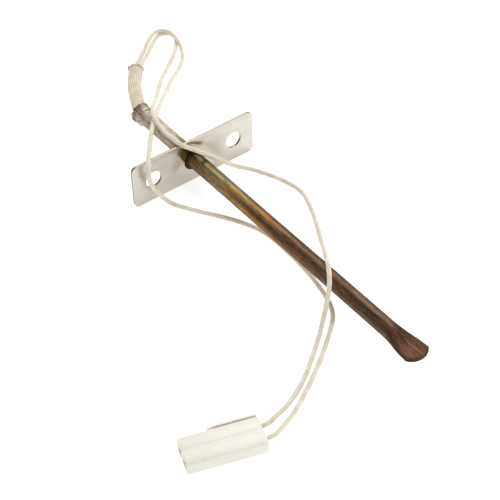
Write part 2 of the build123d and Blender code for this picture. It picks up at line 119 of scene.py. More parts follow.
# ---- Lines and meshes
def line_of(name, route):
    """Points along the NURBS curve that a route's points guide, as an array in metres."""
    curve = bpy.data.curves.new(name, "CURVE")
    curve.dimensions = "3D"
    curve.resolution_u = 24
    spline = curve.splines.new("NURBS")
    spline.points.add(len(route) - 1)
    for point, place in zip(spline.points, route):
        point.co = (*[x * MM for x in place], 1)
    spline.order_u = 3
    spline.use_endpoint_u = True
    holder = bpy.data.objects.new(name, curve)
    mesh = bpy.data.meshes.new_from_object(holder)
    line = np.array([v.co for v in mesh.vertices], float)
    bpy.data.objects.remove(holder)
    bpy.data.meshes.remove(mesh)
    return line


def respaced(line, step):
    """The same line with points an even step apart, and the distance along it of each."""
    along = np.concatenate([[0], np.cumsum(np.linalg.norm(np.diff(line, axis=0), axis=1))])
    at = np.linspace(0, along[-1], int(math.ceil(along[-1] / step)) + 1)
    return np.stack([np.interp(at, along, line[:, k]) for k in range(3)], axis=1), at


def side_vectors(line):
    """Two unit vectors across the line at each point, which turn as little as they can along it."""
    ahead = np.gradient(line, axis=0)
    ahead /= np.linalg.norm(ahead, axis=1)[:, None]
    first = [np.array((0.0, 0.0, 1.0))]
    for direction in ahead:
        side = first[-1] - direction * (first[-1] @ direction)
        first.append(side / np.linalg.norm(side))
    first = np.array(first[1:])
    return first, np.cross(ahead, first)


def end_direction(line):
    """Unit vector along the line at its end."""
    ahead = line[-1] - line[-3]
    return ahead / np.linalg.norm(ahead)


def ring_angles(ring):
    """The angles of the points of a ring."""
    return np.arange(ring) * TURN / ring


def spokes(angle, first, second):
    """Unit vectors from each point of a line to the ring of points round it."""
    cos, sin = np.cos(angle)[None, :, None], np.sin(angle)[None, :, None]
    return cos * first[:, None, :] + sin * second[:, None, :]


def ring_noise(a, scale, seed):
    """Noise at an angle round a ring, without a step where the ring closes."""
    return noise.noise(Vector((scale * math.cos(a), scale * math.sin(a), seed)))


def mesh_object(name, points, faces, smooth_angle=None):
    """A mesh object in the scene from points in metres and faces."""
    mesh = bpy.data.meshes.new(name)
    mesh.from_pydata([tuple(p) for p in points], [], faces)
    mesh.validate()
    mesh.shade_smooth()
    if smooth_angle:
        mesh.set_sharp_from_angle(angle=math.radians(smooth_angle))
    made = bpy.data.objects.new(name, mesh)
    bpy.context.scene.collection.objects.link(made)
    return made


def grid_faces(rows, ring, start=0):
    """Quads that join each ring of points to the next."""
    return [
        (start + i * ring + j, start + i * ring + (j + 1) % ring,
         start + (i + 1) * ring + (j + 1) % ring, start + (i + 1) * ring + j)
        for i in range(rows - 1) for j in range(ring)
    ]


def keep_value(made, name, values):
    """Keeps a number at each point of a mesh, for its material to read."""
    layer = made.data.attributes.new(name, "FLOAT", "POINT")
    layer.data.foreach_set("value", np.asarray(values, np.float32).ravel())


def braid(angle, along, strands, pitch):
    """Height of a braid from 0 to 1: two families of strands that cross, each in turn on top."""
    one = strands * angle + TURN * along / pitch
    other = strands * angle - TURN * along / pitch
    return 0.5 + 0.25 * (np.sin(one) + np.sin(other))


# ---- Leads: braided tubes on their routes
LEAD_RING = 36
LEAD_STEP = 0.28 * MM
LEAD_STRANDS = 7
LEAD_PITCH = 2.9 * MM
LEAD_CORE = 0.9  # share of the lead's radius that lies under the braid
LEAD_RELIEF = 0.08  # share of the lead's radius that the strands rise


def braided_lead(name, route, cad_node):
    """A lead as a braided tube, shown instead of its CAD node, and the line along its middle."""
    line, along = respaced(line_of(name, route), LEAD_STEP)
    angle = ring_angles(LEAD_RING)
    height = braid(angle[None, :], along[:, None], LEAD_STRANDS, LEAD_PITCH)
    radius = LEAD_DIAMETER / 2 * (LEAD_CORE + LEAD_RELIEF * height)
    points = line[:, None, :] + radius[..., None] * spokes(angle, *side_vectors(line))
    faces = grid_faces(len(line), LEAD_RING)
    faces.append(tuple(range(LEAD_RING))[::-1])
    faces.append(tuple(range((len(line) - 1) * LEAD_RING, len(line) * LEAD_RING)))
    made = mesh_object(name, points.reshape(-1, 3), faces)
    # the braid's height, from which the material paints shade between the strands
    keep_value(made, "tone", height)
    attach(made, "probe")
    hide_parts(cad_node)
    return made, line


lead_a, line_a = braided_lead("braided_lead_a", ROUTE_A, "lead_wire_a")
lead_b, line_b = braided_lead("braided_lead_b", ROUTE_B, "lead_wire_b")

# ---- Sleeve over both leads, ribbed along its length and frayed at its free end
SLEEVE_RING = 144
SLEEVE_STEP = 0.3 * MM
SLEEVE_RADIUS = 2.52 * MM
SLEEVE_WALL = 0.34 * MM
SLEEVE_RELIEF = 0.2 * MM
SLEEVE_RIBS = 22
SLEEVE_PITCH = 5.0 * MM
RIB_SHARE = 0.7  # of the relief; the braid has the rest
BRAID_SHARE = 0.3
RIB_SWAY = 0.5  # how far the ribs sway from side to side, in radians of their own wave
RIB_SWAY_LENGTH = 3.1 * MM  # one sway takes this length times 2 pi
# painted shade inside the sleeve
INNER_SHADE_SHARE = 0.3  # how bright the inside of the weave is, as a share of its outside
FRAY_LENGTH = 3.2 * MM
FRAY_POWER = 1.6  # how suddenly the end flares
FRAY_SPREAD = 0.3 * MM
FRAY_LEAN = 0.5 * MM
FRAY_RAGGED_MM = 1.3
WORN_LENGTH = 6 * MM
WORN_BACK_MM = 1.5


def ribbed_sleeve():
    """The sleeve as a hollow tube, the line along its middle and the vectors across that line."""
    line, along = respaced(line_of("sleeve", SLEEVE_ROUTE), SLEEVE_STEP)
    first, second = side_vectors(line)
    end = along[-1]
    angle = ring_angles(SLEEVE_RING)
    sway = RIB_SWAY * np.sin(along[:, None] / RIB_SWAY_LENGTH)
    ribs = 0.5 + 0.5 * np.cos(SLEEVE_RIBS * angle[None, :] + sway)
    fine = braid(angle[None, :], along[:, None], SLEEVE_RIBS, SLEEVE_PITCH)
    height = RIB_SHARE * ribs + BRAID_SHARE * fine
    flare = np.clip((along - (end - FRAY_LENGTH)) / FRAY_LENGTH, 0, 1)[:, None] ** FRAY_POWER
    lean = np.array([ring_noise(a, 3, 0.7) for a in angle])
    radius = SLEEVE_RADIUS + SLEEVE_RELIEF * height + flare * (FRAY_SPREAD + FRAY_LEAN * lean)
    ragged = flare[..., None] * np.array([ring_noise(a, 9, 4.2) for a in angle])[:, None]
    sides = spokes(angle, first, second)
    # the end is worn back on its upper side
    worn = np.clip((along - (end - WORN_LENGTH)) / WORN_LENGTH, 0, 1)[:, None, None]
    cut = worn * sides[..., 2:3] * -WORN_BACK_MM * MM
    shift = (ragged * FRAY_RAGGED_MM * MM + cut) * end_direction(line)
    outer = line[:, None, :] + radius[..., None] * sides + shift
    inner = line[:, None, :] + (radius - SLEEVE_WALL)[..., None] * sides + shift
    points = np.concatenate([outer.reshape(-1, 3), inner[::-1].reshape(-1, 3)])
    made = mesh_object("ribbed_sleeve", points, grid_faces(2 * len(line), SLEEVE_RING))
    wear = np.broadcast_to(flare, height.shape)
    # the inside gets a lower tone, which the material shows as painted shade
    keep_value(made, "tone", np.concatenate([height, INNER_SHADE_SHARE * height[::-1]]))
    keep_value(made, "wear", np.concatenate([wear, wear[::-1]]))
    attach(made, "probe")
    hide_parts("fibreglass_sleeve")
    return made, line, first, second


sleeve, sleeve_line, sleeve_first, sleeve_second = ribbed_sleeve()

FIBRE_COUNT = 46
FIBRE_SEED = 7
FIBRE_ROOT_RADIUS = 2.8 * MM
FIBRE_ROOT_BACK = 0.8 * MM
FIBRE_JITTER = 0.1 * MM
FIBRE_REACH_MM = (0.7, 1.5)
FIBRE_SPREAD_MM = (0.05, 0.45)
FIBRE_HALF_MM = (0.05, 0.09)  # half a fibre's thickness
FIBRE_BOW_MM = 0.12
FIBRE_TAPER = 0.3  # a fibre's thickness at its tip, as a share of that at its root


def loose_fibres():
    """Short stray glass fibres at the sleeve's frayed end."""
    rng = np.random.default_rng(FIBRE_SEED)
    end, first, second = sleeve_line[-1], sleeve_first[-1], sleeve_second[-1]
    ahead = end_direction(sleeve_line)
    points, faces = [], []
    for _ in range(FIBRE_COUNT):
        a = rng.uniform(0, TURN)
        side = math.cos(a) * first + math.sin(a) * second
        root = end + FIBRE_ROOT_RADIUS * side - ahead * (FIBRE_ROOT_BACK + WORN_BACK_MM * MM * side[2])
        reach = rng.uniform(*FIBRE_REACH_MM) * MM
        spread = rng.uniform(*FIBRE_SPREAD_MM)
        tip = root + ahead * reach + side * spread * MM + rng.normal(0, FIBRE_JITTER, 3)
        bend = (root + tip) / 2 + side * FIBRE_BOW_MM * MM
        across = np.cross(tip - root, side)
        across /= np.linalg.norm(across)
        thick = rng.uniform(*FIBRE_HALF_MM) * MM
        start = len(points)
        for place, half in ((root, thick), (bend, thick), (tip, FIBRE_TAPER * thick)):
            points += [place + half * direction for direction in (across, side)]
            points += [place - half * direction for direction in (across, side)]
        faces += grid_faces(3, 4, start)
        faces += [tuple(start + k for k in (3, 2, 1, 0)), tuple(start + k for k in (8, 9, 10, 11))]
    made = mesh_object("sleeve_fibres", points, faces)
    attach(made, "probe")
    return made


fibres = loose_fibres()

# ---- Sheath: turned profile from the crimped mouth to the taper, then pressed sections to the tip
SHEATH_RING = 144
SHEATH_RADIUS_MM = 3.0
BARREL_START_MM = -26.0
BARREL_END_MM = 105.0
BARREL_ROWS = 90
CRIMP_IN_MM = 0.12  # how far the crimp draws the mouth in
FOLD_MM = 0.3  # how far its folds stand in and out
FOLD_LAG = 9  # the folds along X trail those across it by this many points of the ring
# Distance along X, radius, and how much of the crimp that ring has; first the bore, then the lip
MOUTH_PROFILE_MM = [
    (-27.0, 2.50, 0.0), (-28.6, 2.60, 0.0), (-29.8, 3.10, 0.1), (-31.5, 3.35, 0.3), (-33.0, 3.42, 0.7),
    (-33.5, 3.55, 1.0), (-33.62, 3.74, 1.0), (-33.5, 3.92, 1.0), (-33.1, 4.0, 1.0), (-32.6, 3.92, 0.8),
    (-32.2, 3.70, 0.6), (-31.8, 3.60, 0.35), (-31.3, 3.66, 0.25), (-30.7, 3.74, 0.15),
    (-30.1, 3.76, 0.08), (-29.7, 3.72, 0.05), (-29.4, 3.55, 0.0), (-29.1, 3.34, 0.0), (-28.8, 3.22, 0.0),
    (-28.4, 3.17, 0.0), (-28.0, 3.22, 0.0), (-27.6, 3.22, 0.0), (-27.2, 3.12, 0.0), (-26.8, 3.02, 0.0),
]
TIP_START_MM = 106.0
TIP_END_MM = 122.1
TIP_PAST_MM = 0.6  # how far past the tip the sections are read before the last cut
TIP_ROWS = 60
TIP_LAST_SHARE = 0.985
TIP_ARC_MM = 5.9
TIP_LEAN = 0.05  # how much fuller the cut is on one corner
# Distance along X, half width, half thickness and squareness of the pressed tip's sections
TIP_SECTIONS_MM = np.array([
    (106.0, 3.0, 3.0, 2.0), (108.2, 3.12, 2.86, 2.05), (110.5, 3.42, 2.35, 2.2), (112.8, 3.78, 1.75, 2.4),
    (115.0, 4.12, 1.3, 2.7), (117.0, 4.4, 1.05, 3.0), (119.0, 4.55, 0.92, 3.2), (123.0, 4.72, 0.8, 3.4),
])
# Shallow crease along the middle of the upper face, where the press folded the tube in
CREASE_AT_MM = (109.5, 113.5, 118.5, 122.0)
CREASE_DEPTH_MM = (0, 0.3, 0.14, 0)
CREASE_Y_MM = 0.25
CREASE_WIDTH_MM = 0.75
# Closing rings: thickness as a share of the last section's, and distance past the cut in millimetres
TIP_CLOSING = ((0.97, -0.12), (0.85, -0.03), (0.6, 0.0), (0.25, 0.01))


def turned_ring(angle, x, radius):
    """A ring round the X axis, in millimetres."""
    return np.stack([np.broadcast_to(x, angle.shape), radius * np.cos(angle), radius * np.sin(angle)], 1)


def tip_ring(angle, share, shrink=1.0, past=0.0):
    """A ring of the pressed tip, in millimetres, at a share of the way to the arc cut across its end."""
    cos, sin = np.cos(angle), np.sin(angle)
    x = TIP_START_MM + share * (TIP_END_MM + TIP_PAST_MM - TIP_START_MM)
    wide, thick, power = (np.interp(x, TIP_SECTIONS_MM[:, 0], TIP_SECTIONS_MM[:, k]) for k in (1, 2, 3))
    y = wide * np.sign(cos) * np.abs(cos) ** (2 / power)
    z = thick * np.sign(sin) * np.abs(sin) ** (2 / power) * shrink
    crease = np.interp(x, CREASE_AT_MM, CREASE_DEPTH_MM) * np.exp(-((y - CREASE_Y_MM) / CREASE_WIDTH_MM) ** 2)
    z = z - crease * (sin > 0)
    arc = TIP_ARC_MM - np.sqrt(np.maximum(TIP_ARC_MM**2 - y**2, 0))
    cut = TIP_END_MM - arc + TIP_LEAN * y + past
    return np.stack([TIP_START_MM + share * (cut - TIP_START_MM), y, z], 1)


def closing_faces(last, ring):
    """Faces that join the upper and lower halves of the last ring."""
    faces = []
    for j in range(ring // 2):
        a, b = last + j, last + (j + 1)
        c, d = last + (ring - j - 1) % ring, last + (ring - j) % ring
        faces.append(tuple(dict.fromkeys((b, a, d, c))))
    return [face for face in faces if len(face) > 2]


def sheath():
    """The sheath, open at its crimped mouth and closed at its pressed tip."""
    angle = ring_angles(SHEATH_RING)
    fold = np.array([
        0.5 * ring_noise(a, 2.6, 1.3)
        + 0.3 * math.cos(11 * a + 3 * ring_noise(a, 1, 5.1))
        + 0.4 * math.cos(26 * a + 4 * ring_noise(a, 2, 8.3)) for a in angle])
    rows = []
    for x, radius, weight in MOUTH_PROFILE_MM:
        folded = radius - weight * CRIMP_IN_MM + weight * FOLD_MM * fold
        rows.append(turned_ring(angle, x + weight * FOLD_MM * np.roll(fold, FOLD_LAG), folded))
    for x in np.linspace(BARREL_START_MM, BARREL_END_MM, BARREL_ROWS):
        rows.append(turned_ring(angle, x, SHEATH_RADIUS_MM))
    for share in np.linspace(0, TIP_LAST_SHARE, TIP_ROWS):
        rows.append(tip_ring(angle, share))
    for shrink, past in TIP_CLOSING:
        rows.append(tip_ring(angle, 1.0, shrink, past))
    faces = grid_faces(len(rows), SHEATH_RING)
    faces += closing_faces((len(rows) - 1) * SHEATH_RING, SHEATH_RING)
    made = mesh_object("heat_tinted_sheath", np.concatenate(rows) * MM, faces)
    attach(made, "probe")
    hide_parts("sheath_tube")
    return made


sheath_piece = sheath()

# ---- Ferrule: the rim behind the flange and the ring in front of it, as distance along X and radius
FERRULE_RING = 96
FERRULE_SMOOTH_ANGLE = 40
FERRULE_PROFILE_MM = [
    (-0.9, 3.03), (-0.9, 5.1), (-0.82, 5.3), (-0.62, 5.4), (-0.3, 5.4), (-0.1, 5.34), (-0.02, 5.2),
    (-0.02, 3.72), (0.4, 3.72), (1.1, 3.7), (1.32, 3.66), (1.46, 3.54), (1.5, 3.36), (1.46, 3.2),
    (1.3, 3.06), (1.1, 3.03),
]


def ferrule():
    """The ferrule as a closed ring round the sheath."""
    ring, rows = FERRULE_RING, len(FERRULE_PROFILE_MM)
    turns = [j * TURN / ring for j in range(ring)]
    points = [(x * MM, r * MM * math.cos(a), r * MM * math.sin(a))
              for x, r in FERRULE_PROFILE_MM for a in turns]
    faces = grid_faces(rows, ring)
    last = (rows - 1) * ring
    faces += [(last + j, last + (j + 1) % ring, (j + 1) % ring, j) for j in range(ring)]
    made = mesh_object("swaged_ferrule", points, faces, FERRULE_SMOOTH_ANGLE)
    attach(made, "probe")
    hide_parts("mounting_ferrule")
    return made


ferrule_piece = ferrule()

# ---- Flat shapes with holes and rounded edges: the flange and the plug's mouldings
PRESSED_SMOOTH_ANGLE = 28
WELD_DISTANCE = 1e-6


def rounded_box(width, height, corner, steps=8):
    """Outline of a rectangle with rounded corners, in millimetres."""
    out = []
    for sx, sy, start in ((1, 1, 0), (-1, 1, 90), (-1, -1, 180), (1, -1, 270)):
        for k in range(steps + 1):
            a = math.radians(start + 90 * k / steps)
            x = sx * (width / 2 - corner) + corner * math.cos(a)
            out.append((x, sy * (height / 2 - corner) + corner * math.sin(a)))
    return out


def circle(x, y, radius, steps=64):
    """Outline of a circle, in millimetres."""
    turns = [k * TURN / steps for k in range(steps)]
    return [(x + radius * math.cos(a), y + radius * math.sin(a)) for a in turns]


def moved(outline, x, y):
    """An outline moved sideways and up."""
    return [(x + a, y + b) for a, b in outline]


def pressed(name, outlines, low, high, edge, matrix):
    """A plate with rounded edges from closed outlines in millimetres, of which the first is its outside."""
    curve = bpy.data.curves.new(name, "CURVE")
    curve.dimensions = "2D"
    curve.fill_mode = "BOTH"
    curve.extrude = ((high - low) / 2 - edge) * MM
    curve.bevel_depth = edge * MM
    curve.bevel_resolution = 3
    for outline in outlines:
        spline = curve.splines.new("POLY")
        spline.points.add(len(outline) - 1)
        for point, (x, y) in zip(spline.points, outline):
            point.co = (x * MM, y * MM, 0, 1)
        spline.use_cyclic_u = True
    holder = bpy.data.objects.new(name, curve)
    mesh = bpy.data.meshes.new_from_object(holder)
    bpy.data.objects.remove(holder)
    mesh.transform(matrix @ Matrix.Translation((0, 0, (low + high) / 2 * MM)))
    mesh.name = name
    mesh.materials.clear()
    made = bpy.data.objects.new(name, mesh)
    bpy.context.scene.collection.objects.link(made)
    weld = made.modifiers.new("weld", "WELD")
    weld.merge_threshold = WELD_DISTANCE
    mesh.shade_smooth()
    mesh.set_sharp_from_angle(angle=math.radians(PRESSED_SMOOTH_ANGLE))
    return made


FLANGE_MM = (52.0, 17.8, 1.0)
FLANGE_CORNER_MM = 2.0
FLANGE_EDGE_MM = 0.14
FLANGE_BORE_MM = 4.1
SCREW_HOLE_MM = 3.25
SCREW_Y_MM = 17.3
flange_outside = rounded_box(
    FLANGE_MM[0] - 2 * FLANGE_EDGE_MM, FLANGE_MM[1] - 2 * FLANGE_EDGE_MM, FLANGE_CORNER_MM)
screw_holes = [circle(y, 0, SCREW_HOLE_MM + FLANGE_EDGE_MM) for y in (-SCREW_Y_MM, SCREW_Y_MM)]
bore = circle(0, 0, FLANGE_BORE_MM + FLANGE_EDGE_MM, 96)
flange = pressed(
    "brushed_flange", [flange_outside, *screw_holes, bore], 0.0, FLANGE_MM[2], FLANGE_EDGE_MM, ACROSS_X)
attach(flange, "probe")
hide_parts("flange_plate")

# ---- Plug housing: a moulding with two square cavities right through it
HOUSING_MM = (25.4, 11.0, 5.2)
HOUSING_MIDDLE_MM = HOUSING_MM[2] / 2
HOUSING_EDGE_MM = 0.22
CHAMFER_MM = 0.6
CHAMFER_BREAK_MM = 0.18  # how far the chamfer's middle point lies in from each side
GROOVE_MM = ((0.9, 0), (0.7, 0.04), (0.5, 0.12))  # half width and depth, from its rim to its bed
CAVITY_MM = 3.4
CAVITY_CORNER_MM = 0.45
CAVITY_Y_MM = 2.5
PLUG_SECTION = PLUG_MATRIX @ ACROSS_X


def housing_outline():
    """Cross section of the housing: chamfered corners and a groove along its top and bottom."""
    w, h = HOUSING_MM[1] / 2 - HOUSING_EDGE_MM, HOUSING_MM[2] / 2 - HOUSING_EDGE_MM
    corner = [(w, h - CHAMFER_MM), (w - CHAMFER_BREAK_MM, h - CHAMFER_BREAK_MM), (w - CHAMFER_MM, h)]
    quarter = corner + [(x, h - depth) for x, depth in GROOVE_MM]
    half = [(w, 0), *quarter, *[(-x, y) for x, y in quarter[::-1]]]
    return moved(half + [(-x, -y) for x, y in half], 0, HOUSING_MIDDLE_MM)


def at_cavities(outline):
    """An outline repeated at each of the plug's two cavities."""
    return [moved(outline, y, HOUSING_MIDDLE_MM) for y in (CAVITY_Y_MM, -CAVITY_Y_MM)]


cavity_side = CAVITY_MM + 2 * HOUSING_EDGE_MM
cavities = at_cavities(rounded_box(cavity_side, cavity_side, CAVITY_CORNER_MM, 4))
housing = pressed(
    "nylon_housing", [housing_outline(), *cavities], 0.0, HOUSING_MM[0], HOUSING_EDGE_MM, PLUG_SECTION)
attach(housing, "probe")
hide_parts("connector_housing")

# ---- Wall with two windows, just inside the housing's nose
NOSE_WALL_MM = (9.4, 3.8, 0.3)  # width, height and corner
NOSE_WALL_X_MM = (24.3, 25.1)
NOSE_WALL_EDGE_MM = 0.1
WINDOW_MM = (2.0, 2.0, 0.3)
nose_outline = moved(rounded_box(*NOSE_WALL_MM), 0, HOUSING_MIDDLE_MM)
windows = at_cavities(rounded_box(*WINDOW_MM, 4))
nose_wall = pressed(
    "nylon_nose_wall", [nose_outline, *windows], *NOSE_WALL_X_MM, NOSE_WALL_EDGE_MM, PLUG_SECTION)
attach(nose_wall, "probe")

# ---- Latch arm on the housing's far side
LATCH_Z_MM = (0.6, 4.8)
LATCH_EDGE_MM = 0.12
LATCH_OUTLINE_MM = [
    (15.4, -5.74), (15.65, -5.86), (15.73, -6.07), (15.6, -6.25), (13.9, -6.93), (0.32, -6.93),
    (0.32, -6.27), (13.5, -6.27), (15.1, -5.82),
]
latch = pressed("nylon_latch", [LATCH_OUTLINE_MM], *LATCH_Z_MM, LATCH_EDGE_MM, PLUG_MATRIX)
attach(latch, "latch")
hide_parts("connector_latch")


# ---- Shader nodes
def linear(r, g, b):
    """A colour given as screen values from 0 to 255."""
    shares = (r / 255, g / 255, b / 255)
    return tuple((x / 12.92 if x <= 10 / 255 else ((x + 0.055) / 1.055) ** 2.4) for x in shares) + (1,)


def put(tree, node, key, value):
    """Sets a node's input, or links it if the value is another node's output."""
    if isinstance(value, bpy.types.NodeSocket):
        tree.links.new(value, node.inputs[key])
    else:
        node.inputs[key].default_value = value


def add(tree, kind, settings=(), **inputs):
    """A shader node with its settings and its inputs by name."""
    node = tree.nodes.new("ShaderNode" + kind)
    for key, value in dict(settings).items():
        setattr(node, key, value)
    for key, value in inputs.items():
        put(tree, node, key.replace("_", " "), value)
    return node


def calculate(tree, operation, *values, kind="Math", output="Value"):
    """What a Math or VectorMath node makes of its values."""
    node = add(tree, kind, {"operation": operation})
    for place, value in enumerate(values):
        put(tree, node, place, value)
    return node.outputs[output]


def span(tree, value, low, high, to_low=0.0, to_high=1.0):
    """A value carried from one span to another, and held at its ends."""
    node = add(tree, "MapRange", Value=value, From_Min=low, From_Max=high, To_Min=to_low, To_Max=to_high)
    return node.outputs[0]


def coordinate(tree, kind="Object"):
    """The point, or its normal, on the object's own axes."""
    return add(tree, "TexCoord").outputs[kind]


def x_of(tree, vector):
    """The X of a vector."""
    return add(tree, "SeparateXYZ", Vector=vector).outputs["X"]


def toward(tree, place, direction):
    """How far a point lies from the origin in a direction."""
    return calculate(tree, "DOT_PRODUCT", place, direction, kind="VectorMath")


def finish_of(name, **values):
    """A new material with constants set on its shader's own sockets, its node tree and its shader."""
    made = bpy.data.materials.new(name)
    made.use_nodes = True
    tree = made.node_tree
    shader = tree.nodes["Principled BSDF"]
    for key, value in values.items():
        shader.inputs[key.replace("_", " ")].default_value = value
    return made, tree, shader


def ramp(tree, factor, stops):
    """A colour ramp from stops, each a place from 0 to 1 and screen values."""
    node = add(tree, "ValToRGB", Fac=factor)
    band = node.color_ramp.elements
    while len(band) < len(stops):
        band.new(0.5)
    for element, (place, colour) in zip(band, stops):
        element.position = place
        element.color = linear(*colour)
    return node.outputs["Color"]


def grain(tree, scale, detail=3.0, stretch=(1, 1, 1)):
    """Noise on the object's own axes, stretched by unequal scales."""
    mapped = add(tree, "Mapping", Vector=coordinate(tree), Scale=stretch).outputs["Vector"]
    return add(tree, "TexNoise", Vector=mapped, Scale=scale, Detail=detail).outputs["Fac"]


def mix(tree, factor, first, second, blend="MIX"):
    """Two colours mixed by a factor; each of the three may be another node's output."""
    node = add(tree, "Mix", {"data_type": "RGBA", "blend_type": blend})
    for place, value in ((0, factor), (6, first), (7, second)):
        put(tree, node, place, value)
    return node.outputs[2]


def multiply(tree, factor, first, second):
    """One colour multiplied by another, as far as a factor says."""
    return mix(tree, factor, first, second, "MULTIPLY")


def bump(tree, shader, height, strength, distance):
    """Fine relief on a shader, too small to be modelled."""
    node = add(tree, "Bump", Height=height, Strength=strength, Distance=distance)
    tree.links.new(node.outputs["Normal"], shader.inputs["Normal"])


# ---- Materials
WHITE = (255, 255, 255)
# Colour of the steel from the sheath's mouth at 0 to its tip at 1; the bright stop at 0.03, where the mouth
# necks in behind its lip, is a painted highlight ring
HEAT_AND_HIGHLIGHT_COLOURS = [
    (0.0, (128, 114, 100)), (0.012, (140, 126, 110)), (0.02, (186, 173, 156)), (0.03, (220, 213, 198)),
    (0.1, (208, 202, 182)), (0.14, (198, 191, 168)), (0.165, (164, 146, 120)), (0.19, (122, 100, 80)),
    (0.235, (152, 142, 110)), (0.33, (186, 173, 134)), (0.45, (172, 140, 92)), (0.56, (148, 118, 92)),
    (0.7, (130, 106, 92)), (0.86, (132, 110, 96)), (0.93, (116, 92, 82)), (1.0, (106, 85, 76)),
]
HEAT_MOUTH_X = -0.034
HEAT_TIP_X = 0.122
HEAT_DRIFT = 0.016  # length over which patches shift those colours
HUE_X = (-0.006, 0.004)  # the bands' hues come in along X from the first to the second
# Directions from the sheath's axis, and the distances in them where an effect begins and is full
# the side that gets a copper-coloured painted highlight
HIGHLIGHT_SIDE_DIRECTION = (0, 0.87, 0.5)
HIGHLIGHT_SIDE_SPAN = (0.0012, 0.0036)
# above the flange's bore: smoother, with a painted reflection of the sheath
GLOSS_AND_PAINTED_REFLECTION_DIRECTION = (0, -0.52, 0.855)
GLOSS_AND_PAINTED_REFLECTION_SPAN = (0.0020, 0.0042)
# Distances from the axis where an effect on the flange begins and is full
# the flange's smoother patch with a painted reflection of the sheath
GLOSS_AND_PAINTED_REFLECTION_RING = (0.0104, 0.0070)
# copper-coloured painted highlight round the flange's bore
COPPER_HIGHLIGHT_RING = (0.0046, 0.0041)
FERRULE_FRONT_X = (0.0001, 0.0005)


def heat_tint():
    """Sheath steel: the heat's colours along it, with a painted highlight ring behind the mouth, and streaks,
    bands and fine marks.
    """
    made, tree, shader = finish_of("heat_tinted_steel", Metallic=1.0)
    x = x_of(tree, coordinate(tree))
    streaks = grain(tree, 1.0, 5.0, (22, 800, 800))
    bands = grain(tree, 1.0, 4.0, (75, 620, 620))
    fine = grain(tree, 1.0, 4.0, (320, 1900, 1900))
    patches = grain(tree, 1.0, 2.0, (60, 160, 160))
    shift = calculate(tree, "MULTIPLY_ADD", patches, HEAT_DRIFT, -HEAT_DRIFT / 2)
    share = span(tree, calculate(tree, "ADD", x, shift), HEAT_MOUTH_X, HEAT_TIP_X)
    tint = ramp(tree, share, HEAT_AND_HIGHLIGHT_COLOURS)
    dark = ramp(tree, streaks, [(0.34, (140, 130, 124)), (0.5, (205, 199, 194)), (0.64, (255, 250, 240))])
    hue = ramp(tree, bands, [(0.36, (184, 200, 208)), (0.48, (222, 226, 210)), (0.62, (252, 222, 198))])
    marks = ramp(tree, fine, [(0.36, (160, 152, 144)), (0.5, (232, 228, 222)), (0.62, (255, 255, 250))])
    colour = multiply(tree, 0.7, multiply(tree, 0.8, tint, dark), marks)
    # the bands' hues show only past the flange
    heated = span(tree, x, *HUE_X, to_high=0.9)
    put(tree, shader, "Base Color", mix(tree, heated, colour, multiply(tree, 1.0, colour, hue)))
    put(tree, shader, "Roughness", span(tree, streaks, 0, 1, 0.44, 0.66))
    bump(tree, shader, fine, 0.4, 0.00003)
    return made


def painted_highlight_side(tree):
    """From 0 to 1 round the sheath: 1 on the side, mostly +Y, that gets a copper-coloured painted highlight.
    """
    return span(tree, toward(tree, coordinate(tree), HIGHLIGHT_SIDE_DIRECTION), *HIGHLIGHT_SIDE_SPAN)


def ferrule_steel():
    """Ferrule steel: dark behind the flange, with a copper-coloured painted highlight on the front ring's
    upper side.
    """
    made, tree, shader = finish_of("dark_steel_painted_highlight", Metallic=1.0)
    cloud = grain(tree, 900.0, 4.0)
    colour = ramp(tree, cloud, [(0.3, (50, 40, 32)), (0.7, (92, 72, 54))])
    front = span(tree, x_of(tree, coordinate(tree)), *FERRULE_FRONT_X)
    # copper-coloured painted highlight on the front ring's upper side
    copper = calculate(tree, "MULTIPLY", painted_highlight_side(tree), front)
    put(tree, shader, "Base Color", mix(tree, copper, colour, linear(186, 132, 94)))
    put(tree, shader, "Roughness", span(tree, cloud, 0, 1, 0.34, 0.5))
    bump(tree, shader, cloud, 0.15, 0.00003)
    return made


